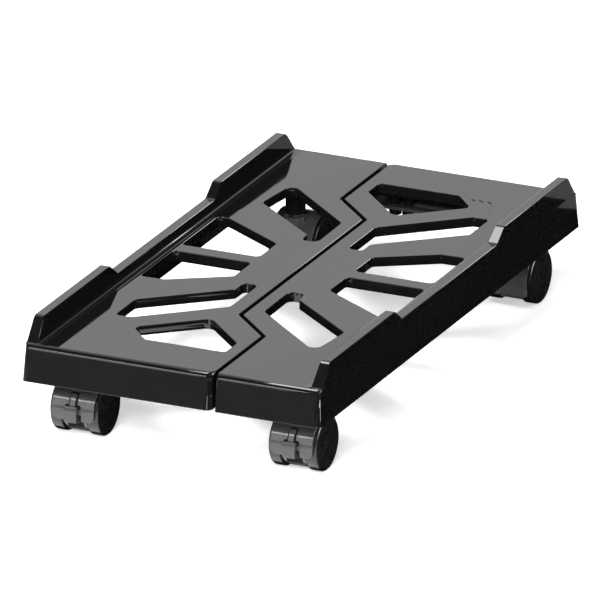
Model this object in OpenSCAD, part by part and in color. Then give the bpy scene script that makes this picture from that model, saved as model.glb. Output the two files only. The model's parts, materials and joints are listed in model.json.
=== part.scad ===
// Rolling stand for a computer tower: two moulded deck halves that slide apart on
// slotted bars, carried by four hooded twin-wheel casters with brake levers.
// Millimetres. +X is the width, +Y runs to the back, +Z is up from the floor, and
// the origin is on the floor below the centre of the closed stand.
// The two halves are one moulding: the right half is the left one turned half a turn.

/* [Deck] */
// Width of the closed stand across the deck top
deck_w = 220; // [214:1:230]
// Length of the flat deck top
deck_l = 420; // [412:1:424]
// Height of the deck top above the floor
deck_h = 71; // [70.5:0.5:73]
// Thickness of the deck plate
plate_t = 3; // [2.5:0.1:3.5]
// Depth of the skirt below the deck top
skirt_d = 26; // [25:0.5:27]
// Thickness of the skirt wall
skirt_t = 2.8; // [2.4:0.1:3.2]
// How far the end skirts lean out between top and bottom
end_lean = 2.8; // [1:0.1:3.5]
// How far the side skirts lean out between top and bottom
side_lean = 1; // [0.5:0.1:1.5]
// Radius of the rounded top edge at the two ends
edge_r = 4.3; // [3:0.1:4.5]
// Radius of the four upright corners
corner_r = 4; // [3:0.5:5]

/* [Openings] */
// Thickness of the lip around each opening
lip_t = 2; // [1.5:0.1:2.5]
// Depth of the lips below the deck top
lip_d = 7; // [6:0.5:8]

/* [Seam] */
// Gap between the closed halves
seam_gap = 3; // [2.5:0.1:3.5]
// Sideways offset of the seam at the two ends
seam_jog = 31.5; // [30:0.5:32]
// Distance from the centre to the start of each slanted stretch
seam_straight = 102; // [101:1:104]
// Radius of the rounder seam corner of each half
seam_round_r = 4.8; // [3:0.1:5.5]
// Radius of the sharper seam corner of each half
seam_sharp_r = 1.6; // [1:0.1:2.5]

/* [Fence] */
// Height of the tall parts of the side fence
fence_tall = 15.5; // [12:0.5:18]
// Height of the low middle of the side fence
fence_low = 6.5; // [5:0.5:8]
// Thickness of the fence at the deck
fence_base_t = 8.2; // [7:0.1:9]
// Thickness of the fence at its top
fence_top_t = 7; // [6:0.1:7.5]
// Length of the sloping ends of the fence
fence_ramp = 12.5; // [12:0.5:18]
// Half length of the low middle
fence_low_half = 79; // [70:1:85]
// Length of the slope between the low and the tall parts
fence_step = 12; // [10:0.5:18]

/* [Slide bars] */
// How far the halves draw apart
slide_travel = 60; // [40:1:60]
// Width of a slide bar
bar_w = 18; // [16:0.5:20]
// Thickness of a slide bar
bar_t = 2.5; // [2:0.1:3]
// Distance of the slide bars from the centre
bar_y = 192; // [191:0.5:193]
// Diameter of the bar screws
screw_d = 4.8; // [4.6:0.1:5]

/* [Casters] */
// Distance of the caster stems from the centreline
stem_x = 81.4; // [80:0.1:83]
// Distance of the caster stems from the middle of the length
stem_y = 166; // [164:0.5:167]
// Distance between stem axis and wheel axis
trail = 11.5; // [11:0.1:12]
// Diameter of the wheels
wheel_d = 38; // [37.5:0.1:38.5]
// Width of one wheel
wheel_w = 8.6; // [8:0.1:9]
// Distance between the inner faces of the two wheels of a caster
wheel_space = 18.6; // [18.4:0.1:19]
// Diameter of the wheel axle
axle_d = 5; // [4.8:0.1:5.2]
// Outer radius of the hood over the wheels
hood_r = 21; // [20.8:0.1:21.5]
// Width of the hood
hood_w = 31.5; // [30:0.5:32]
// Diameter of the stem
stem_d = 7.9; // [7.8:0.1:8]
// Angle that the brake lever turns through
brake_swing = 12; // [8:1:12]

/* [Hidden] */

bore_fn = 96;
eps = 0.02;
moving_gap = 0.3;
running_gap = 0.05;

black_plastic = "#1b1b1c";
dark_plastic = "#262628";
black_steel = "#2f3032";
zinc_steel = "#b4b6ba";

// Deck levels
skirt_z = deck_h - skirt_d;
plate_z = deck_h - plate_t;
lip_z = deck_h - lip_d;
deck_x = deck_w / 2;
deck_y = deck_l / 2;
skirt_y = deck_y + edge_r + end_lean;
rib_t = 2;
rib_d = 10;

// Openings of the left half, anticlockwise, each point as [x, y, corner radius]
front_fan = [[-56, -153.5, 4], [-39.5, -172, 5], [20.5, -172, 3], [20.5, -153, 4],
    [-14.5, -117.5, 6]];
front_key = [[-77.5, -137, 3], [-66, -137, 5], [-13, -90.5, 4], [-13, -45.5, 4],
    [-23.5, -45.5, 3], [-23.5, -59, 4], [-77.5, -105, 4]];
front_window = [[-94, -62, 4], [-76, -61, 4], [-35.5, -36, 4], [-35.5, -7, 4], [-94, -7, 4]];
rear_window = [[-94, 5.5, 4], [-35.5, 5.5, 4], [-35.5, 34, 4], [-86, 66, 4], [-94, 66, 4]];
rear_key = [[-78, 104, 4], [-24, 59.5, 4], [-22.5, 48, 2.5], [-11.5, 48, 5],
    [-12, 89.5, 4], [-68.5, 140, 5], [-74.5, 137, 5]];
openings = [front_fan, front_key, front_window, rear_window, rear_key];

// Three plain marks beside the rear opening of the right half
mark_x = 52;
mark_y = 168;
mark_step = 6;
mark_size = [4, 1.2];
mark_d = 0.35;
mark_turn = -35;

// Slide bar hardware; the rear set is placed, and the front set is it turned round
bar_z = 48.5;
bar_in_x = -66;
bar_out_x = 100;
guide_x = [7.5, 17.5];
fixing_x = [52, 92];
screw_r = screw_d / 2;
guide_boss_r = 4;
fixing_boss_r = 4.5;
boss_top_z = plate_z + 1;
screw_top_z = 62;
guide_head_r = 4.5;
guide_head_h = 4.7;
washer_t = 0.9;
washer_r = 5;
fixing_head_h = 3;
slot_in_x = guide_x[0] - slide_travel - screw_r - 0.5;
slot_out_x = guide_x[1] + screw_r + 0.5;
slot_w = screw_d + 2 * moving_gap;

// Caster levels and sizes, measured from the stem axis and the floor
wheel_r = wheel_d / 2;
axle_r = axle_d / 2;
stem_r = stem_d / 2;
socket_z = 42.5;
socket_r = 7;
socket_bore_r = stem_r + 0.1;
socket_bore_top = 64.5;
stem_top_z = 62.5;
stem_low_z = 23.6;
collar_t = 1.6;
collar_r = 6;
hood_t = 1.5;
hood_boss_top = socket_z - collar_t - 0.4;
hood_boss_r = 7.4;
core_r = 17.5;
core_w = 17;
clip_z = 25.2;
clip_t = 0.9;
clip_r = 5.1;
clip_groove_r = 3.1;
grip_z = 57;
grip_h = 3;
grip_groove_r = 3.3;
axle_in_wheel = 6.2;
lever_w = 4.4;
lever_slot_w = 6;
pad_w = 9.2;
pad_in_r = hood_r + 0.7;
pad_out_r = 25.4;
hub_r = 5.2;
shoe_r = 2;
shoe_w = 11;
shoe_at_r = 13.2;

// Angles about the wheel axis: 180 points out of the stand, 90 points up
hood_from = -30;
hood_to = 194;
slot_from = 136;
shoe_at = 196;
slot_to = shoe_at + brake_swing + 24;
pad_from = 164.4;
pad_to = 191;

// Unit vector, and the vector turned a quarter turn to the right
function unit(v) = v / norm(v);
function right_of(v) = [v[1], -v[0]];
function at(p, i) = p[(i + len(p)) % len(p)];
function flat2(p) = [p[0], p[1]];

// Where two lines meet, each through a point along a direction
function meet(p, u, q, v) =
    p + u * ((q - p)[0] * v[1] - (q - p)[1] * v[0]) / (u[0] * v[1] - u[1] * v[0]);

// Outline [x, y, r] moved outward by d; points run anticlockwise
function grown(p, d) = [for (i = [0 : len(p) - 1])
    let (u = unit(flat2(at(p, i)) - flat2(at(p, i - 1))),
         v = unit(flat2(at(p, i + 1)) - flat2(at(p, i))),
         turn = u[0] * v[1] - u[1] * v[0],
         m = meet(flat2(at(p, i)) + right_of(u) * d, u,
                  flat2(at(p, i)) + right_of(v) * d, v))
    [m[0], m[1], max(0.5, turn > 0 ? at(p, i)[2] + d : at(p, i)[2] - d)]];

// Outline [x, y, r] with every corner turned into an arc of its own radius
function rounded(p, steps = 6) = [for (i = [0 : len(p) - 1])
    let (c = flat2(at(p, i)),
         u = unit(flat2(at(p, i - 1)) - c),
         v = unit(flat2(at(p, i + 1)) - c),
         r = at(p, i)[2],
         half = acos(u * v) / 2,
         centre = c + unit(u + v) * r / sin(half),
         a = c + u * r / tan(half) - centre,
         turn = u[0] * v[1] - u[1] * v[0] < 0 ? 180 - 2 * half : 2 * half - 180)
    each r < eps ? [c] : [for (k = [0 : steps])
        let (t = turn * k / steps)
        centre + [a[0] * cos(t) - a[1] * sin(t), a[0] * sin(t) + a[1] * cos(t)]]];

// Rounded outline raised from z0 to z1
module prism(p, z0, z1, steps = 6) {
    translate([0, 0, z0])
        linear_extrude(z1 - z0)
            polygon(rounded(p, steps));
}

// Upright cylinder from z0 to z1
module post(r, z0, z1) {
    translate([0, 0, z0])
        cylinder(r = r, h = z1 - z0, $fn = bore_fn);
}

// Cylinder along X, centred
module rod_x(r, w) {
    rotate([0, 90, 0])
        cylinder(r = r, h = w, center = true, $fn = bore_fn);
}

// Outline in Y and Z drawn out along X, centred
module plate_x(p, w, steps = 6) {
    translate([-w / 2, 0, 0])
        rotate([90, 0, 90])
            linear_extrude(w)
                polygon(rounded(p, steps));
}

// Wedge of the YZ plane from angle a0 to a1, drawn out along X about the origin
module wedge_x(a0, a1, r, w) {
    steps = 8;
    translate([-w / 2, 0, 0])
        rotate([90, 0, 90])
            linear_extrude(w)
                polygon(concat([[0, 0]], [for (k = [0 : steps])
                    let (a = a0 + (a1 - a0) * k / steps)
                    r / cos((a1 - a0) / steps / 2) * [cos(a), sin(a)]]));
}

// Part of a ring about X between two radii and two angles
module ring_part_x(r0, r1, a0, a1, w) {
    intersection() {
        difference() {
            rod_x(r1, w);
            rod_x(r0, w + 1);
        }
        wedge_x(a0, a1, r1 + 2, w);
    }
}

// ---------------------------------------------------------------- deck halves

// Outline of the closed stand, half sizes x and y
function stand_outline(x, y, r) = [[-x, -y, r], [x, -y, r], [x, y, r], [-x, y, r]];

// Block with leaning ends and rounded top edges: x is its half width at the top,
// lean the widening to the bottom, r_low and r_top the radii of its upright corners
module stand_form(x = deck_x, lean = side_lean, r_low = corner_r, r_top = corner_r - 2) {
    steps = 5;
    lean_z = deck_h - edge_r;
    hull() {
        prism(stand_outline(x + lean, skirt_y, r_low), skirt_z, skirt_z + eps);
        for (k = [0 : steps]) {
            a = 90 * k / steps;
            prism(stand_outline(x, deck_y + edge_r * cos(a), r_low + (r_top - r_low) * k / steps),
                lean_z + edge_r * sin(a) - eps, lean_z + edge_r * sin(a));
        }
    }
}

// Hollow below the plate and inside the skirt
module stand_hollow() {
    inner_r = corner_r - 1.5;
    hull() {
        prism(stand_outline(deck_x + side_lean - skirt_t, skirt_y - skirt_t, inner_r),
            skirt_z - 1, skirt_z - 1 + eps);
        prism(stand_outline(deck_x - skirt_t, skirt_y - end_lean - skirt_t, inner_r),
            plate_z - eps, plate_z);
    }
}

// Ground plan of the left half, larger than the stand on its outer sides
function half_plan(gap = seam_gap / 2) =
    let (far = deck_l,
         slant_y = seam_straight + seam_jog,
         k = gap * tan(22.5),
         bend_r = 1.5)
    [[-far, -far, 0], [seam_jog - gap, -far, 0], [seam_jog - gap, -slant_y - k, bend_r],
     [-gap, -seam_straight - k, bend_r], [-gap, seam_straight - k, bend_r],
     [-seam_jog - gap, slant_y - k, bend_r], [-seam_jog - gap, far, 0], [-far, far, 0]];

// The left half's part of the space, its seam side moved inward by inset
module half_region(inset = 0) {
    prism(inset > 0 ? grown(half_plan(), -inset) : half_plan(), skirt_z - 5, deck_h + 5);
}

// Cutter that rounds the corner of radius r where the seam at x meets end s (-1 front)
module seam_corner_cut(x, s, r) {
    block_x = 30;
    cut_y = skirt_y - deck_y + r + 1;
    difference() {
        translate([x - r, s * (skirt_y + 1) - (s > 0 ? cut_y : 0), skirt_z - 1])
            cube([r + seam_gap, cut_y, skirt_d + 2]);
        translate([x - block_x + eps, 0, 0])
            stand_form(block_x, 0, r, r);
    }
}

// Strip of depth t along the seam between two heights
module seam_strip(t, z0, z1) {
    intersection() {
        stand_form();
        difference() {
            half_region();
            half_region(t);
        }
        translate([-deck_w, -deck_l, z0])
            cube([2 * deck_w, 2 * deck_l, z1 - z0]);
    }
}

// Lips under the plate: around every opening and along the seam
module lips() {
    for (p = openings)
        prism(grown(p, lip_t), lip_z, boss_top_z);
    seam_strip(lip_t, lip_z, boss_top_z);
}

// Deep walls along the seam at the two ends, outside the slide bars
module seam_walls() {
    clear_y = bar_y + bar_w / 2 + 1.5;
    difference() {
        seam_strip(skirt_t, skirt_z, boss_top_z);
        translate([-deck_w, -clear_y, skirt_z - 1])
            cube([2 * deck_w, 2 * clear_y, skirt_d + 2]);
    }
}

// Stiffening ribs under the plate
module ribs() {
    rib_z = deck_h - rib_d;
    rib_h = boss_top_z - rib_z;
    start_x = -deck_x + skirt_t / 2;
    side_x = -deck_x + fence_base_t + 2 * rib_t;
    rib_y = 178;
    seam_lip_x = -(seam_gap + lip_t) / 2;
    middle_y = (at(front_window, -1)[1] + rear_window[0][1]) / 2;
    for (s = [-1, 1])
        translate([start_x, s * rib_y - rib_t / 2, rib_z])
            cube([seam_lip_x - s * seam_jog - start_x, rib_t, rib_h]);
    translate([side_x - rib_t / 2, -deck_y - skirt_t / 2, rib_z])
        cube([rib_t, deck_l + skirt_t, rib_h]);
    translate([start_x, middle_y - rib_t / 2, rib_z])
        cube([seam_lip_x - start_x, rib_t, rib_h]);
}

// Socket boss of one caster, with four gussets
module socket_boss() {
    gusset_l = 13;
    gusset_z = 54;
    post(socket_r, socket_z, boss_top_z);
    for (a = [45 : 90 : 315])
        rotate([0, 0, a])
            translate([0, -rib_t / 2, gusset_z])
                cube([gusset_l, rib_t, boss_top_z - gusset_z]);
}

// Side fence of the left half with its fillet to the deck
module fence() {
    fillet_r = 1.6;
    bend_r = 4;
    top_bend_r = 5;
    root = 1;
    tall_y = deck_y - fence_ramp;
    step_y = fence_low_half + fence_step;
    side = [[-deck_y, -root, 0], [deck_y, -root, 0], [deck_y, 0, 0],
        [tall_y, fence_tall, top_bend_r], [step_y, fence_tall, bend_r],
        [fence_low_half, fence_low, bend_r], [-fence_low_half, fence_low, bend_r],
        [-step_y, fence_tall, bend_r], [-tall_y, fence_tall, top_bend_r], [-deck_y, 0, 0]];
    section = [[0, -root], [fence_base_t, -root], [fence_base_t, 0],
        [fence_top_t, fence_tall + eps], [0, fence_tall + eps]];
    fillet = concat([[0, -root / 2], [fillet_r, -root / 2], [fillet_r, 0]],
        [for (a = [15 : 15 : 75]) [fillet_r * (1 - sin(a)), fillet_r * (1 - cos(a))]],
        [[-0.2, fillet_r]]);
    translate([-deck_x, 0, deck_h]) {
        intersection() {
            translate([fence_base_t / 2, 0, 0])
                plate_x(side, fence_base_t + 2);
            rotate([90, 0, 0])
                linear_extrude(2 * deck_l, center = true)
                    polygon(section);
        }
        intersection() {
            translate([fence_base_t - 0.05, deck_y, 0])
                rotate([90, 0, 0])
                    linear_extrude(deck_l)
                        polygon(fillet);
            translate([fence_base_t, 0, 0])
                plate_x([for (p = side) [p[0], p[1], 0]], fence_base_t);
        }
    }
}

// One moulded half, in its place at the left
module half_deck() {
    difference() {
        union() {
            intersection() {
                difference() {
                    stand_form();
                    stand_hollow();
                }
                half_region();
            }
            fence();
            lips();
            seam_walls();
            ribs();
            for (s = [-1, 1])
                translate([-stem_x, s * stem_y, 0])
                    socket_boss();
            for (x = guide_x)
                translate([x, -bar_y, 0])
                    post(guide_boss_r, bar_z + bar_t + moving_gap, boss_top_z);
            for (x = fixing_x)
                translate([-x, bar_y, 0])
                    post(fixing_boss_r, bar_z + bar_t, boss_top_z);
        }
        for (p = openings)
            prism(p, skirt_z, deck_h + 1);
        seam_corner_cut(seam_jog - seam_gap / 2, -1, seam_round_r);
        seam_corner_cut(-seam_jog - seam_gap / 2, 1, seam_sharp_r);
        for (s = [-1, 1])
            translate([-stem_x, s * stem_y, 0])
                post(socket_bore_r, socket_z - 1, socket_bore_top);
        for (x = guide_x)
            translate([x, -bar_y, 0])
                post(screw_r, bar_z, screw_top_z);
        for (x = fixing_x)
            translate([-x, bar_y, 0])
                post(screw_r, bar_z, screw_top_z);
    }
}

// Turns a piece of the left half or the front set to the other one's place
module turned() {
    rotate([0, 0, 180])
        children();
}

module left_deck() {
    color(black_plastic) half_deck();
}

module right_deck() {
    color(black_plastic)
        difference() {
            turned() half_deck();
            for (k = [0 : 2])
                translate([mark_x + mark_step * k, mark_y, deck_h])
                    rotate([0, 0, mark_turn])
                        cube([mark_size[0], mark_size[1], 2 * mark_d], center = true);
        }
}

// ---------------------------------------------------------------- slide bars

// Bar that is fixed to the right half and slides in the left half
module slide_bar() {
    end_r = 3;
    near_y = -bar_y - bar_w / 2;
    deep_y = -bar_y + bar_w / 2;
    difference() {
        prism([[bar_in_x, near_y, end_r], [bar_out_x, near_y, end_r],
               [bar_out_x, deep_y, end_r], [bar_in_x, deep_y, end_r]],
            bar_z, bar_z + bar_t);
        translate([slot_in_x + slot_w / 2, -bar_y - slot_w / 2, bar_z - 1])
            cube([slot_out_x - slot_in_x - slot_w, slot_w, bar_t + 2]);
        for (x = [slot_in_x + slot_w / 2, slot_out_x - slot_w / 2])
            translate([x, -bar_y, 0])
                post(slot_w / 2, bar_z - 1, bar_z + bar_t + 1);
        for (x = fixing_x)
            translate([x, -bar_y, 0])
                post(screw_r, bar_z - 1, bar_z + bar_t + 1);
    }
}

// Screw standing upward from its head, with a cross recess below
module screw(head_z, head_h, head_r) {
    dome = 1;
    cross = [4.8, 1, 1.4];
    difference() {
        union() {
            translate([0, 0, head_z])
                rotate_extrude($fn = bore_fn)
                    polygon(concat([[0, 0]],
                        [for (a = [0 : 15 : 90]) [head_r - dome + dome * sin(a), dome - dome * cos(a)]],
                        [[head_r, head_h], [0, head_h]]));
            post(screw_r, head_z + head_h - eps, screw_top_z - 1);
        }
        for (a = [0, 90])
            rotate([0, 0, a])
                translate([-cross[0] / 2, -cross[1] / 2, head_z - 1])
                    cube([cross[0], cross[1], cross[2] + 1]);
    }
}

// Screws that run in the slot of a bar
module guide_screws() {
    head_z = bar_z - moving_gap - washer_t - guide_head_h;
    for (x = guide_x)
        translate([x, -bar_y, 0])
            screw(head_z, guide_head_h, guide_head_r);
}

// Washers between the guide screw heads and the bar
module guide_washers() {
    for (x = guide_x)
        translate([x, -bar_y, 0])
            difference() {
                post(washer_r - 0.1, bar_z - moving_gap - washer_t, bar_z - moving_gap);
                post(screw_r, bar_z - moving_gap - washer_t - 1, bar_z + 1);
            }
}

// Screws that hold a bar to its own half
module bar_screws() {
    for (x = fixing_x)
        translate([x, -bar_y, 0])
            screw(bar_z - fixing_head_h, fixing_head_h, guide_head_r);
}

module front_slide_bar() {
    color(black_steel) slide_bar();
}

module rear_slide_bar() {
    color(black_steel) turned() slide_bar();
}

module front_bar_screws() {
    color(black_steel) bar_screws();
}

module rear_bar_screws() {
    color(black_steel) turned() bar_screws();
}

module front_guide_screws() {
    color(black_steel) guide_screws();
}

module rear_guide_screws() {
    color(black_steel) turned() guide_screws();
}

module front_guide_washers() {
    color(zinc_steel) guide_washers();
}

module rear_guide_washers() {
    color(zinc_steel) turned() guide_washers();
}

// ---------------------------------------------------------------- casters

// Places a caster piece; sx is -1 at the left, sy is -1 at the front
module corner(sx, sy) {
    translate([sx * stem_x, sy * stem_y, 0])
        rotate([0, 0, sy < 0 ? 0 : 180])
            children();
}

// Moves a piece drawn about the wheel axis to its place beside the stem
module on_axle() {
    translate([0, -trail, wheel_r])
        children();
}

// Steel stem with its collar, grip ring groove and clip groove
module stem() {
    chamfer = 0.6;
    collar_chamfer = 0.3;
    rotate_extrude($fn = bore_fn)
        polygon([[0, stem_low_z], [stem_r - chamfer, stem_low_z],
            [stem_r, stem_low_z + chamfer], [stem_r, clip_z], [clip_groove_r, clip_z],
            [clip_groove_r, clip_z + clip_t], [stem_r, clip_z + clip_t],
            [stem_r, socket_z - collar_t], [collar_r - collar_chamfer, socket_z - collar_t],
            [collar_r, socket_z - collar_t + collar_chamfer], [collar_r, socket_z],
            [stem_r, socket_z], [stem_r, grip_z], [grip_groove_r, grip_z],
            [grip_groove_r, grip_z + grip_h], [stem_r, grip_z + grip_h],
            [stem_r, stem_top_z - chamfer], [stem_r - chamfer, stem_top_z], [0, stem_top_z]]);
}

// Split ring from radius r0 to r1 with a gap at +X
module ring(r0, r1, z0, h, gap_w) {
    difference() {
        post(r1, z0, z0 + h);
        post(r0, z0 - 1, z0 + h + 1);
        translate([0, -gap_w / 2, z0 - 1])
            cube([r1 + 1, gap_w, h + 2]);
    }
}

// Ring in the stem's upper groove that grips the socket
module grip_ring() {
    side_gap = 0.1;
    ring(grip_groove_r, socket_bore_r - running_gap, grip_z + side_gap,
        grip_h - 2 * side_gap, 1.2);
}

// Clip in the stem's lower groove that holds the caster body up
module stem_clip() {
    ring(clip_groove_r, clip_r, clip_z, clip_t, 3.4);
}

// Hood shell with rounded lower corners on both sides
module hood_shell() {
    out_z = -hood_r * sin(hood_to - 180);
    in_z = hood_r * sin(hood_from);
    round_r = 4.5;
    top_z = hood_r + 5;
    half_w = hood_w / 2;
    intersection() {
        ring_part_x(hood_r - hood_t, hood_r, hood_from, hood_to, hood_w);
        union() {
            translate([0, 1, 0])
                rotate([90, 0, 0])
                    linear_extrude(hood_r + 5)
                        polygon(rounded([[-half_w, out_z, round_r], [half_w, out_z, round_r],
                            [half_w, top_z, 0], [-half_w, top_z, 0]]));
            translate([0, hood_r + 5, 0])
                rotate([90, 0, 0])
                    linear_extrude(hood_r + 5)
                        polygon(rounded([[-half_w, in_z, round_r], [half_w, in_z, round_r],
                            [half_w, top_z, 0], [-half_w, top_z, 0]]));
        }
    }
}

// Hooded body of a caster: stem bore, axle bore, lever slot and room for the shoe
module caster_body() {
    room = 0.6;
    overlap = 0.2;
    difference() {
        union() {
            on_axle() {
                hood_shell();
                rod_x(core_r, core_w);
                ring_part_x(core_r - 1, hood_r - overlap, hood_from + 6, hood_to - 4, core_w);
            }
            post(hood_boss_r, wheel_r + 8, hood_boss_top);
        }
        post(stem_r + running_gap, stem_low_z - room, hood_boss_top + 1);
        post(clip_r + room, clip_z - room, clip_z + clip_t + room);
        on_axle() {
            rod_x(axle_r, core_w + 1);
            rod_x(hub_r + room, lever_slot_w);
            wedge_x(slot_from, slot_to, hood_r + 4, lever_slot_w);
            ring_part_x(shoe_at_r - shoe_r - room, hood_r + 4, 180, slot_to, shoe_w + 2 * room);
        }
    }
}

// Axle with chamfered ends, hidden inside the two wheels
module axle() {
    half_l = wheel_space / 2 + axle_in_wheel;
    chamfer = 0.5;
    on_axle()
        rotate([0, 90, 0])
            rotate_extrude($fn = bore_fn)
                polygon([[0, -half_l], [axle_r - chamfer, -half_l], [axle_r, -half_l + chamfer],
                    [axle_r, half_l - chamfer], [axle_r - chamfer, half_l], [0, half_l]]);
}

// Wheel on the side sx of its caster: closed outer face, hollow inner side with spokes
module wheel(sx) {
    x0 = wheel_space / 2;
    x1 = x0 + wheel_w;
    disc_t = 2.2;
    rim_t = 2.8;
    wheel_hub_r = 5.5;
    out_r = 1.5;
    in_r = 0.8;
    bore_end = x0 + axle_in_wheel + 0.5;
    spokes = 6;
    spoke_t = 1.6;
    spoke_in = 1.4;
    merge = 0.4;
    on_axle()
        mirror([sx < 0 ? 1 : 0, 0, 0]) {
            rotate([0, 90, 0])
                rotate_extrude($fn = bore_fn)
                    polygon(concat(
                        [[axle_r + running_gap, x0], [wheel_hub_r, x0],
                         [wheel_hub_r, x1 - disc_t], [wheel_r - rim_t, x1 - disc_t],
                         [wheel_r - rim_t, x0]],
                        [for (a = [0 : 22.5 : 90])
                            [wheel_r - in_r + in_r * sin(a), x0 + in_r - in_r * cos(a)]],
                        [for (a = [0 : 15 : 90])
                            [wheel_r - out_r + out_r * cos(a), x1 - out_r + out_r * sin(a)]],
                        [[0, x1], [0, bore_end], [axle_r + running_gap, bore_end]]));
            for (k = [0 : spokes - 1])
                rotate([360 / spokes * k, 0, 0])
                    translate([x0 + spoke_in, -spoke_t / 2, wheel_hub_r - merge])
                        cube([wheel_w - disc_t - spoke_in + merge / 2, spoke_t,
                            wheel_r - rim_t - wheel_hub_r + 2 * merge]);
        }
}

// Lever that turns on the axle: hub, arm in the hood slot, foot pad and brake shoe
module brake_lever() {
    arm_from = slot_from + 5;
    arm_to = 179;
    neck_r = pad_in_r + 0.6;
    on_axle()
        difference() {
            union() {
                rod_x(hub_r, lever_slot_w - 2 * moving_gap);
                wedge_arm(arm_from, arm_to, neck_r);
                wedge_arm(arm_to - 4, shoe_at, shoe_at_r);
                ring_part_x(pad_in_r, pad_out_r, pad_from, pad_to, pad_w);
                rotate([shoe_at, 0, 0])
                    translate([0, shoe_at_r, 0])
                        rod_x(shoe_r, shoe_w);
            }
            rod_x(axle_r + running_gap, lever_w + 2);
        }
}

// Flat sector of the lever between two angles
module wedge_arm(a0, a1, r) {
    intersection() {
        rod_x(r, lever_w);
        wedge_x(a0, a1, r + 2, lever_w);
    }
}

module one_stem(sx, sy) {
    color(zinc_steel) corner(sx, sy) stem();
}

module one_grip_ring(sx, sy) {
    color(zinc_steel) corner(sx, sy) grip_ring();
}

module one_stem_clip(sx, sy) {
    color(zinc_steel) corner(sx, sy) stem_clip();
}

module one_caster_body(sx, sy) {
    color(dark_plastic) corner(sx, sy) caster_body();
}

module one_axle(sx, sy) {
    color(zinc_steel) corner(sx, sy) axle();
}

// Wheel away from the centreline when out is 1, towards it when out is -1
module one_wheel(sx, sy, out) {
    color(black_plastic) corner(sx, sy) wheel(-sx * sy * out);
}

module one_brake_lever(sx, sy) {
    color(dark_plastic) corner(sx, sy) brake_lever();
}

left_deck();
right_deck();
rear_slide_bar();
front_slide_bar();
rear_bar_screws();
front_bar_screws();
rear_guide_screws();
front_guide_screws();
rear_guide_washers();
front_guide_washers();
one_stem(-1, -1);  // front_left_stem
one_grip_ring(-1, -1);  // front_left_grip_ring
one_stem_clip(-1, -1);  // front_left_stem_clip
one_caster_body(-1, -1);  // front_left_caster_body
one_axle(-1, -1);  // front_left_axle
one_wheel(-1, -1, 1);  // front_left_outer_wheel
one_wheel(-1, -1, -1);  // front_left_inner_wheel
one_brake_lever(-1, -1);  // front_left_brake_lever
one_stem(1, -1);  // front_right_stem
one_grip_ring(1, -1);  // front_right_grip_ring
one_stem_clip(1, -1);  // front_right_stem_clip
one_caster_body(1, -1);  // front_right_caster_body
one_axle(1, -1);  // front_right_axle
one_wheel(1, -1, 1);  // front_right_outer_wheel
one_wheel(1, -1, -1);  // front_right_inner_wheel
one_brake_lever(1, -1);  // front_right_brake_lever
one_stem(-1, 1);  // rear_left_stem
one_grip_ring(-1, 1);  // rear_left_grip_ring
one_stem_clip(-1, 1);  // rear_left_stem_clip
one_caster_body(-1, 1);  // rear_left_caster_body
one_axle(-1, 1);  // rear_left_axle
one_wheel(-1, 1, 1);  // rear_left_outer_wheel
one_wheel(-1, 1, -1);  // rear_left_inner_wheel
one_brake_lever(-1, 1);  // rear_left_brake_lever
one_stem(1, 1);  // rear_right_stem
one_grip_ring(1, 1);  // rear_right_grip_ring
one_stem_clip(1, 1);  // rear_right_stem_clip
one_caster_body(1, 1);  // rear_right_caster_body
one_axle(1, 1);  // rear_right_axle
one_wheel(1, 1, 1);  // rear_right_outer_wheel
one_wheel(1, 1, -1);  // rear_right_inner_wheel
one_brake_lever(1, 1);  // rear_right_brake_lever
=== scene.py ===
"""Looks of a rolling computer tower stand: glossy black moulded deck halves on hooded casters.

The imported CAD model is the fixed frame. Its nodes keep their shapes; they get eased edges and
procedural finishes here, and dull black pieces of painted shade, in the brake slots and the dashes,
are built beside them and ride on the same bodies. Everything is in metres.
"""

import json
import math

import bmesh
import bpy
from mathutils import Matrix, Vector


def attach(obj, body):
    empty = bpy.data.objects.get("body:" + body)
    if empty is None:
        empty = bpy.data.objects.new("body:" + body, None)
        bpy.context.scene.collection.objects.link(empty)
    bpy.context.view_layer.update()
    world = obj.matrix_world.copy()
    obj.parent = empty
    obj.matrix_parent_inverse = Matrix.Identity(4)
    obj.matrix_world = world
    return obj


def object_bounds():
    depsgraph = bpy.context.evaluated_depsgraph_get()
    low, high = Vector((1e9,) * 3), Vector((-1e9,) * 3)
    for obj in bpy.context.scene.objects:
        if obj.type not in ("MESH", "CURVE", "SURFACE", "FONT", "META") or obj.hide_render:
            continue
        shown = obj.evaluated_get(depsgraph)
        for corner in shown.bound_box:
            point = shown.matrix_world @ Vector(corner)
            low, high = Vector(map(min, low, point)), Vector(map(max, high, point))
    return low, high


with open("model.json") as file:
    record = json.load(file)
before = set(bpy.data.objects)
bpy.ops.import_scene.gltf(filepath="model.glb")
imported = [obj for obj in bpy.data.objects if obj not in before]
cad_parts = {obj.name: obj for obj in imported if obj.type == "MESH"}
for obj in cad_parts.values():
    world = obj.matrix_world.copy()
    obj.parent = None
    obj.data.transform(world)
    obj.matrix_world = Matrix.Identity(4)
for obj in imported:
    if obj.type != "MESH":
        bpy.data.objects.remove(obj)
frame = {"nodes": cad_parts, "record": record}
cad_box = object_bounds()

MM = 0.001
NODES = frame["nodes"]
CORNERS = ("front_left", "front_right", "rear_left", "rear_right")


# ---------------------------------------------------------------- camera

VIEW_AZIMUTH = math.radians(24.52)
VIEW_ELEVATION = math.radians(20.51)
CAMERA_DISTANCE = 17.06
LENS_MM = 1500
CLIP_NEAR = 1.0
CLIP_FAR = 500.0
LOOK_AT = Vector((0.0016, -0.0086, 0.05))


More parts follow.
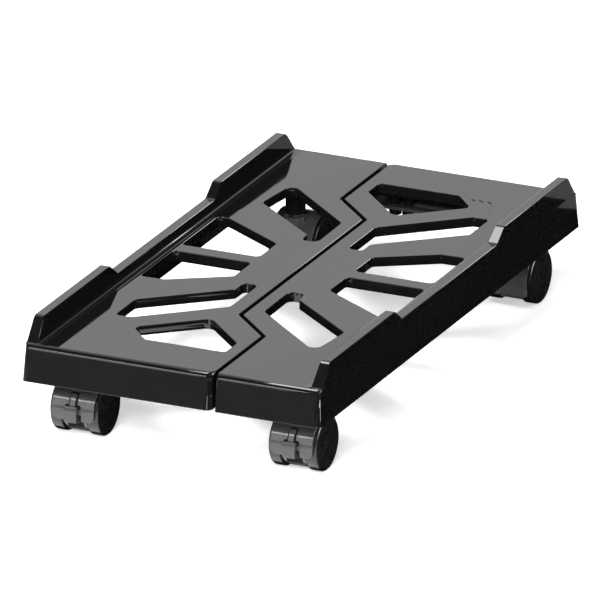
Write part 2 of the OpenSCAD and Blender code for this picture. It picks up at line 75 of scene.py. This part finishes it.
def make_camera():
    """A long lens at the viewing angle, so that the stand shows almost no perspective."""
    back = Vector((
        math.sin(VIEW_AZIMUTH) * math.cos(VIEW_ELEVATION),
        -math.cos(VIEW_AZIMUTH) * math.cos(VIEW_ELEVATION),
        math.sin(VIEW_ELEVATION),
    ))
    data = bpy.data.cameras.new("camera")
    data.lens = LENS_MM
    data.clip_start = CLIP_NEAR
    data.clip_end = CLIP_FAR
    camera = bpy.data.objects.new("camera", data)
    camera.location = LOOK_AT + back * CAMERA_DISTANCE
    camera.rotation_mode = "QUATERNION"
    camera.rotation_quaternion = (-back).to_track_quat("-Z", "Y")
    bpy.context.scene.collection.objects.link(camera)
    bpy.context.scene.camera = camera


# ---------------------------------------------------------------- node helpers

class Tree:
    """A small helper that adds shader nodes and links their sockets."""

    def __init__(self, tree):
        self.tree = tree
        tree.nodes.clear()

    def add(self, kind, **settings):
        node = self.tree.nodes.new(kind)
        for key, value in settings.items():
            setattr(node, key, value)
        return node

    def link(self, source, target):
        self.tree.links.new(source, target)

    def feed(self, socket, value):
        """Sets a socket to a number or links it to another socket."""
        if hasattr(value, "is_output"):
            self.link(value, socket)
        else:
            socket.default_value = value

    def math(self, operation, a, b=0.0):
        node = self.add("ShaderNodeMath", operation=operation)
        self.feed(node.inputs[0], a)
        self.feed(node.inputs[1], b)
        return node.outputs[0]

    def ramp(self, value, low, high, out_low, out_high):
        """Maps value from low..high to out_low..out_high smoothly, and holds it outside them."""
        node = self.add("ShaderNodeMapRange", interpolation_type="SMOOTHSTEP")
        self.feed(node.inputs["Value"], value)
        node.inputs["From Min"].default_value = low
        node.inputs["From Max"].default_value = high
        self.feed(node.inputs["To Min"], out_low)
        self.feed(node.inputs["To Max"], out_high)
        return node.outputs["Result"]

    def place(self, stretch=(1, 1, 1)):
        """Object coordinates in metres, stretched by a factor along each axis."""
        coord = self.add("ShaderNodeTexCoord")
        mapping = self.add("ShaderNodeMapping")
        mapping.inputs["Scale"].default_value = stretch
        self.link(coord.outputs["Object"], mapping.inputs["Vector"])
        return mapping.outputs["Vector"]

    def noise(self, vector, size, detail, rough):
        """Noise whose cells are about size metres wide, from 0 to 1."""
        node = self.add("ShaderNodeTexNoise")
        node.inputs["Scale"].default_value = 1 / size
        node.inputs["Detail"].default_value = detail
        node.inputs["Roughness"].default_value = rough
        self.link(vector, node.inputs["Vector"])
        return node.outputs["Fac"]

    def mix_colour(self, factor, a, b):
        node = self.add("ShaderNodeMix", data_type="RGBA")
        self.feed(node.inputs["Factor"], factor)
        node.inputs[6].default_value = (*a, 1)
        node.inputs[7].default_value = (*b, 1)
        return node.outputs[2]

    def bump(self, height, depth, strength):
        node = self.add("ShaderNodeBump")
        node.inputs["Strength"].default_value = strength
        node.inputs["Distance"].default_value = depth
        self.link(height, node.inputs["Height"])
        return node.outputs["Normal"]


def new_material(name):
    """A material with a Principled shader on its output; returns it, its tree and the shader."""
    material = bpy.data.materials.new(name)
    material.use_nodes = True
    tree = Tree(material.node_tree)
    shader = tree.add("ShaderNodeBsdfPrincipled")
    output = tree.add("ShaderNodeOutputMaterial")
    tree.link(shader.outputs["BSDF"], output.inputs["Surface"])
    return material, tree, shader


# ---------------------------------------------------------------- materials

DRIFT = (0.3, 0.7)
GRAIN_STRENGTH = 0.5


def clouded(name, colours, sheen, cloud, grain, depth):
    """A finish whose colour and gloss drift with a soft cloud, over a fine raised grain.

    sheen is the lowest and highest roughness, cloud and grain each give the size, detail and
    roughness of a noise, and depth is the height of the grain.
    """
    material, tree, shader = new_material(name)
    place = tree.place()
    drift = tree.noise(place, *cloud)
    tree.link(tree.mix_colour(drift, *colours), shader.inputs["Base Color"])
    tree.link(tree.ramp(drift, *DRIFT, *sheen), shader.inputs["Roughness"])
    raised = tree.bump(tree.noise(place, *grain), depth, GRAIN_STRENGTH)
    tree.link(raised, shader.inputs["Normal"])
    return material, shader


def deck_plastic():
    """Glossy black moulded plastic: faint flow lines, a wavy skin and handling marks."""
    material, tree, shader = new_material("gloss_black_plastic")
    place = tree.place()
    flow = tree.noise(tree.place((1, 0.25, 1)), 30 * MM, 3, 0.55)
    tree.link(tree.mix_colour(flow, (0.0034, 0.0033, 0.0031), (0.0056, 0.0054, 0.0051)),
              shader.inputs["Base Color"])
    smears = tree.noise(tree.place((1, 0.5, 1)), 24 * MM, 4, 0.6)
    tree.link(tree.ramp(smears, 0.35, 0.75, 0.045, 0.085), shader.inputs["Roughness"])
    wave = tree.bump(tree.noise(place, 40 * MM, 1, 0.4), 0.012 * MM, 0.5)
    tree.link(wave, shader.inputs["Normal"])
    shader.inputs["IOR"].default_value = 1.5
    return material


def caster_plastic():
    """Dark grey semi-gloss plastic of the hoods and levers, with a fine spark-eroded grain."""
    material, _ = clouded(
        "grey_caster_plastic", ((0.046, 0.045, 0.0435), (0.058, 0.057, 0.055)),
        sheen=(0.11, 0.16), cloud=(9 * MM, 3, 0.55), grain=(0.35 * MM, 2, 0.6), depth=0.005 * MM)
    return material


def wheel_plastic():
    """Satin black nylon of the wheels, with a cloudy sheen."""
    material, _ = clouded(
        "black_wheel_nylon", ((0.0052, 0.0051, 0.0049), (0.0088, 0.0086, 0.0083)),
        sheen=(0.24, 0.36), cloud=(7 * MM, 3, 0.6), grain=(0.8 * MM, 2, 0.5), depth=0.006 * MM)
    return material


def bar_steel():
    """Black powder coat on the slide bars, with the fine peel of the coat."""
    material, _ = clouded(
        "black_coated_steel", ((0.020, 0.020, 0.021), (0.032, 0.032, 0.033)),
        sheen=(0.30, 0.42), cloud=(14 * MM, 3, 0.5), grain=(0.9 * MM, 2, 0.5), depth=0.03 * MM)
    return material


def painted_shade_plastic():
    """Painted shade: the dull black of the plates in the brake slots and of the pieces in the dashes,
    which stand in for shade, with a coarse moulded skin.
    """
    material, shader = clouded(
        "painted_shade_black", ((0.0022, 0.0021, 0.0020), (0.0042, 0.0041, 0.0040)),
        sheen=(0.55, 0.75), cloud=(3 * MM, 3, 0.6), grain=(0.5 * MM, 2, 0.5), depth=0.01 * MM)
    shader.inputs["Specular IOR Level"].default_value = 0.2
    return material


def screw_steel():
    """Blackened steel of the screws, rubbed brighter in places."""
    material, tree, shader = new_material("blackened_steel")
    place = tree.place()
    rub = tree.noise(place, 2.2 * MM, 3, 0.6)
    tree.link(tree.mix_colour(tree.ramp(rub, 0.45, 0.75, 0, 1),
                              (0.055, 0.056, 0.058), (0.16, 0.16, 0.165)),
              shader.inputs["Base Color"])
    tree.link(tree.ramp(rub, *DRIFT, 0.26, 0.40), shader.inputs["Roughness"])
    raised = tree.bump(tree.noise(place, 0.4 * MM, 2, 0.5), 0.01 * MM, GRAIN_STRENGTH)
    tree.link(raised, shader.inputs["Normal"])
    shader.inputs["Metallic"].default_value = 1.0
    return material


def bright_steel():
    """Zinc-plated turned steel of the stems, axles, clips and washers."""
    material, tree, shader = new_material("zinc_plated_steel")
    turned = tree.noise(tree.place((0.08, 0.08, 1)), 0.5 * MM, 2, 0.5)
    cloud = tree.noise(tree.place(), 4 * MM, 3, 0.6)
    tree.link(tree.mix_colour(cloud, (0.52, 0.53, 0.55), (0.66, 0.66, 0.67)),
              shader.inputs["Base Color"])
    tree.link(tree.ramp(cloud, *DRIFT, 0.20, 0.36), shader.inputs["Roughness"])
    tree.link(tree.bump(turned, 0.01 * MM, 0.6), shader.inputs["Normal"])
    shader.inputs["Metallic"].default_value = 1.0
    return material


MATERIALS = {
    "deck_plastic": deck_plastic(),
    "caster_plastic": caster_plastic(),
    "wheel_plastic": wheel_plastic(),
    "bar_steel": bar_steel(),
    "screw_steel": screw_steel(),
    "bright_steel": bright_steel(),
    "painted_shade_plastic": painted_shade_plastic(),
}


# ---------------------------------------------------------------- CAD nodes

EASE_MM = {
    "deck_plastic": 0.45,
    "caster_plastic": 0.35,
    "wheel_plastic": 0.3,
    "bar_steel": 0.25,
    "screw_steel": 0.15,
    "bright_steel": 0.12,
}

DECK_TOP = 71 * MM
ABOVE_DECK = 0.3 * MM
FENCE_TURN = 0.02
SQUARE_FACE = 0.99
WELD_GAP = 0.002 * MM
FLAT_ANGLE = math.radians(0.6)
SHARP_ANGLE = math.radians(17)


def ease_edges(piece, radius, planes):
    """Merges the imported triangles, splits the large faces cleanly and rounds the sharp edges.

    planes is true for a deck moulding: its large planes are shaded flat, so that no reflection
    bends across them.
    """
    turn = piece.matrix_world.to_3x3()
    for face in piece.data.polygons:
        normal = turn @ face.normal
        height = (piece.matrix_world @ face.center).z
        fence = abs(normal.x) < FENCE_TURN and height > DECK_TOP + ABOVE_DECK
        square = max(abs(c) for c in normal) > SQUARE_FACE
        face.use_smooth = not (planes and (fence or square))
    weld = piece.modifiers.new("weld", "WELD")
    weld.merge_threshold = WELD_GAP
    faces = piece.modifiers.new("faces", "DECIMATE")
    faces.decimate_type = "DISSOLVE"
    faces.angle_limit = FLAT_ANGLE
    split = piece.modifiers.new("split", "TRIANGULATE")
    split.ngon_method = "BEAUTY"
    split.min_vertices = 5
    bevel = piece.modifiers.new("bevel", "BEVEL")
    bevel.width = radius
    bevel.segments = 2
    bevel.limit_method = "ANGLE"
    bevel.angle_limit = SHARP_ANGLE
    bevel.use_clamp_overlap = False
    bevel.loop_slide = False
    bevel.miter_outer = "MITER_ARC"
    if planes:
        return
    bevel.face_strength_mode = "FSTR_ALL"
    normals = piece.modifiers.new("normals", "WEIGHTED_NORMAL")
    normals.keep_sharp = False
    normals.use_face_influence = True


def finish_nodes():
    slots = {part["node"]: part["material_slot"] for part in frame["record"]["subparts"]}
    for name, node in NODES.items():
        slot = slots[name]
        for index in range(len(node.material_slots)):
            node.material_slots[index].material = MATERIALS[slot]
        ease_edges(node, EASE_MM[slot] * MM, slot == "deck_plastic")


# ---------------------------------------------------------------- small pieces of painted shade

STEM_X = 81.4 * MM
AXLE_Y = 177.5 * MM
AXLE_Z = 19 * MM
HOOD_R = 21 * MM
SLOT_ANGLES = (161, 197)
SLOT_SUNK = 0.3 * MM
SLOT_PROUD = 0.12 * MM
SLOT_HALF_WIDTH = 6.0 * MM
SLOT_CORNER = 2.0 * MM
CORNER_STEPS = 6

MARK_COUNT = 3
MARK_X = 52
MARK_STEP = 6
MARK_Y = 168
MARK_TURN = math.radians(-35)
MARK_HALF_LENGTH = 1.4 * MM
MARK_HALF_WIDTH = 0.52 * MM
MARK_POINTS = 24
MARK_RINGS = ((70.66, 1.0), (70.78, 1.0), (70.84, 0.86))


def ring_solid(name, rings):
    """A closed piece skinned over rings of points that all have the same count."""
    mesh = bmesh.new()
    loops = [[mesh.verts.new(point) for point in ring] for ring in rings]
    for low, high in zip(loops, loops[1:]):
        for k in range(len(low)):
            mesh.faces.new((low[k - 1], low[k], high[k], high[k - 1]))
    mesh.faces.new(loops[-1])
    mesh.faces.new(list(reversed(loops[0])))
    bmesh.ops.recalc_face_normals(mesh, faces=mesh.faces)
    data = bpy.data.meshes.new(name)
    mesh.to_mesh(data)
    mesh.free()
    # painted shade: every piece skinned here wears the black that stands in for shade
    data.materials.append(MATERIALS["painted_shade_plastic"])
    piece = bpy.data.objects.new(name, data)
    bpy.context.scene.collection.objects.link(piece)
    return piece


def arc_plate(name, centre, outward, radii, angles, half_width, corner):
    """A curved plate about an axle: angle 180 points out of the stand and 90 up.

    Its four corners are rounded with radius corner, and its rim is rolled in by its thickness.
    """
    inner, outer = radii
    middle = (angles[0] + angles[1]) / 2
    half_length = math.radians(angles[1] - angles[0]) / 2 * outer
    outline = []
    for quarter in range(4):
        sign_u = (1, -1, -1, 1)[quarter]
        sign_v = (1, 1, -1, -1)[quarter]
        for k in range(CORNER_STEPS + 1):
            turn = math.radians(90) * (quarter + k / CORNER_STEPS)
            outline.append((sign_u * (half_width - corner) + corner * math.cos(turn),
                            sign_v * (half_length - corner) + corner * math.sin(turn)))
    profile = ((inner, 1.0), ((inner + 2 * outer) / 3, 1.0), (outer, 0.96), (outer, 0.5), (outer, 0.02))
    rings = []
    for radius, shrink in profile:
        ring = []
        for u, v in outline:
            angle = math.radians(middle) + v * shrink / outer
            ring.append((centre[0] + u * shrink,
                         centre[1] - outward * radius * math.cos(angle),
                         centre[2] + radius * math.sin(angle)))
        rings.append(ring)
    piece = ring_solid(name, rings)
    for face in piece.data.polygons:
        face.use_smooth = True
    return piece


def make_slot_shades():
    """Painted shade: a dull black plate in the slot that each brake lever comes out of, standing in for
    the shade in that slot.
    """
    for corner in CORNERS:
        side = -1 if corner.endswith("left") else 1
        outward = -1 if corner.startswith("front") else 1
        centre = (side * STEM_X, outward * AXLE_Y, AXLE_Z)
        radii = (HOOD_R - SLOT_SUNK, HOOD_R + SLOT_PROUD)
        # painted shade: a black plate standing in for the shade in the slot around the lever
        shade_plate = arc_plate(f"{corner}_slot_shade", centre, outward, radii,
                          SLOT_ANGLES, SLOT_HALF_WIDTH, SLOT_CORNER)
        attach(shade_plate, f"{corner}_caster")


def make_mark_shades():
    """Painted shade: dull black pieces in the three recessed dashes, standing in for the shade in them
    so that they read dark against the gloss.
    """
    turn = Matrix.Rotation(MARK_TURN, 4, "Z")
    outline = []
    for k in range(MARK_POINTS):
        angle = math.radians(360 / MARK_POINTS * k)
        end = math.copysign(MARK_HALF_LENGTH, math.cos(angle))
        outline.append((end + MARK_HALF_WIDTH * math.cos(angle), MARK_HALF_WIDTH * math.sin(angle)))
    for index in range(MARK_COUNT):
        centre = Vector(((MARK_X + MARK_STEP * index) * MM, MARK_Y * MM, 0))
        rings = [[turn @ Vector((u * shrink, v * shrink, 0)) + centre + Vector((0, 0, z * MM))
                  for u, v in outline]
                 for z, shrink in MARK_RINGS]
        # painted shade: a dull black piece filling the dash, where there is only shade
        dash_shade = ring_solid(f"mark_shade_{index + 1}", rings)
        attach(dash_shade, "right_half")


# ---------------------------------------------------------------- stage and light

FLOOR_REACH = 6.0
CARD_LIFT = 0.3 * MM
CARD_WEST = -0.35
CARD_EAST = 0.60


def add_sheet(name, west, east, near, far, level):
    """A flat rectangle between two X values and two Y values."""
    mesh = bpy.data.meshes.new(name)
    corners = [(west, near, level), (east, near, level), (east, far, level), (west, far, level)]
    mesh.from_pydata(corners, [], [(0, 1, 2, 3)])
    sheet = bpy.data.objects.new(name, mesh)
    bpy.context.scene.collection.objects.link(sheet)
    return sheet


def matt_glow(name, grain_size, colours, glow_colour, glow):
    """A matt finish with a fine grain that also gives off light."""
    material, tree, shader = new_material(name)
    grain = tree.noise(tree.place(), grain_size, 2, 0.5)
    tree.link(tree.mix_colour(grain, *colours), shader.inputs["Base Color"])
    shader.inputs["Roughness"].default_value = 0.9
    shader.inputs["Specular IOR Level"].default_value = 0.0
    shader.inputs["Emission Color"].default_value = (*glow_colour, 1)
    shader.inputs["Emission Strength"].default_value = glow
    return material


def make_floor():
    """A pale floor, level with the wheels and left out of reflections."""
    floor = add_sheet("floor", -FLOOR_REACH, FLOOR_REACH, -FLOOR_REACH, FLOOR_REACH, cad_box[0].z)
    colours = ((0.88, 0.88, 0.88), (0.90, 0.90, 0.90))
    floor.data.materials.append(matt_glow("pale_floor", 3 * MM, colours, (1, 1, 1), 0.45))
    floor.visible_glossy = False


def make_card(name, near, far, glow):
    """A card on the floor between two Y values, seen only in reflections."""
    card = add_sheet(name, CARD_WEST, CARD_EAST, near, far, cad_box[0].z + CARD_LIFT)
    colours = ((0.002, 0.002, 0.002), (0.004, 0.004, 0.004))
    card.data.materials.append(matt_glow(name, 2 * MM, colours, (1, 0.99, 0.98), glow))
    card.visible_camera = False
    card.visible_diffuse = False
    card.visible_shadow = False
    card.visible_transmission = False


def make_world():
    """A studio seen by direction: a bright wall behind at the left, and dark to the right."""
    world = bpy.data.worlds.new("studio")
    world.use_nodes = True
    bpy.context.scene.world = world
    tree = Tree(world.node_tree)
    coord = tree.add("ShaderNodeTexCoord")
    split = tree.add("ShaderNodeSeparateXYZ")
    tree.link(coord.outputs["Generated"], split.inputs["Vector"])
    x, y, z = split.outputs
    squares = tree.math("ADD", tree.math("MULTIPLY", x, x), tree.math("MULTIPLY", y, y))
    level = tree.math("SQRT", tree.math("MAXIMUM", squares, 1e-6))
    east = tree.math("DIVIDE", x, level)
    north = tree.math("DIVIDE", y, level)
    # 1 towards the wall behind at the left, -1 away from it
    wall = tree.math("ADD", tree.math("MULTIPLY", east, -0.55), tree.math("MULTIPLY", north, 0.835))
    above_wall = tree.ramp(wall, 0.55, 0.92, 0.05, 1.12)
    left = tree.math("ADD", tree.math("MULTIPLY", east, -0.9), tree.math("MULTIPLY", north, 0.436))
    below_left = tree.ramp(left, 0.55, 0.85, tree.ramp(east, -0.5, 0.3, 0.24, 0.35), 1.3)
    above = tree.ramp(z, -0.06, 0.06, 0.0, 1.0)
    mixed = tree.math("ADD", tree.math("MULTIPLY", above, above_wall),
                      tree.math("MULTIPLY", tree.math("SUBTRACT", 1.0, above), below_left))
    background = tree.add("ShaderNodeBackground")
    background.inputs["Color"].default_value = (1.0, 0.995, 0.985, 1)
    tree.link(mixed, background.inputs["Strength"])
    output = tree.add("ShaderNodeOutputWorld")
    tree.link(background.outputs["Background"], output.inputs["Surface"])


def add_light(name, azimuth, elevation, distance, size, power, mirrored, aim=(0, 0, 0.05)):
    """An area light that faces the stand; azimuth 0 is in front of it and 90 at its right.

    A mirrored light shows only as a highlight on the plastic, and the others light it evenly.
    """
    a = math.radians(azimuth)
    e = math.radians(elevation)
    back = Vector((math.sin(a) * math.cos(e), -math.cos(a) * math.cos(e), math.sin(e)))
    data = bpy.data.lights.new(name, "AREA")
    data.shape = "RECTANGLE"
    data.size = size[0]
    data.size_y = size[1]
    data.energy = power
    light = bpy.data.objects.new(name, data)
    light.location = back * distance + Vector(aim)
    light.rotation_mode = "QUATERNION"
    light.rotation_quaternion = (-back).to_track_quat("-Z", "Y")
    light.visible_glossy = mirrored
    light.visible_diffuse = not mirrored
    bpy.context.scene.collection.objects.link(light)


def make_lights():
    add_light("key", 12, 30, 2.4, (1.1, 0.7), 62, mirrored=False)
    add_light("overhead", -20, 66, 2.0, (0.9, 0.5), 36, mirrored=False)
    add_light("fill", 120, 35, 2.6, (1.4, 1.0), 18, mirrored=False)
    add_light("top_strip", -90, 74.5, 0.965, (0.50, 0.12), 2.2, mirrored=True, aim=(0, -0.12, 0.05))
    add_light("back_box", 180, 31, 1.6, (0.5, 0.07), 0.7, mirrored=True)
    add_light("right_box", 97, 27, 1.6, (1.1, 1.0), 50, mirrored=True)
    add_light("front_strip", -25, 26, 1.5, (0.6, 0.06), 2.2, mirrored=True)
    add_light("front_haze", -25, 12, 1.5, (0.6, 0.55), 2.4, mirrored=True)


def main():
    make_camera()
    finish_nodes()
    make_floor()
    make_card("dark_card", -0.19, 0.37, 0.0)
    make_card("front_card", -0.44, -0.19, 2.2)
    make_slot_shades()
    make_mark_shades()
    make_world()
    make_lights()
    bpy.context.scene.view_settings.view_transform = "Standard"


main()
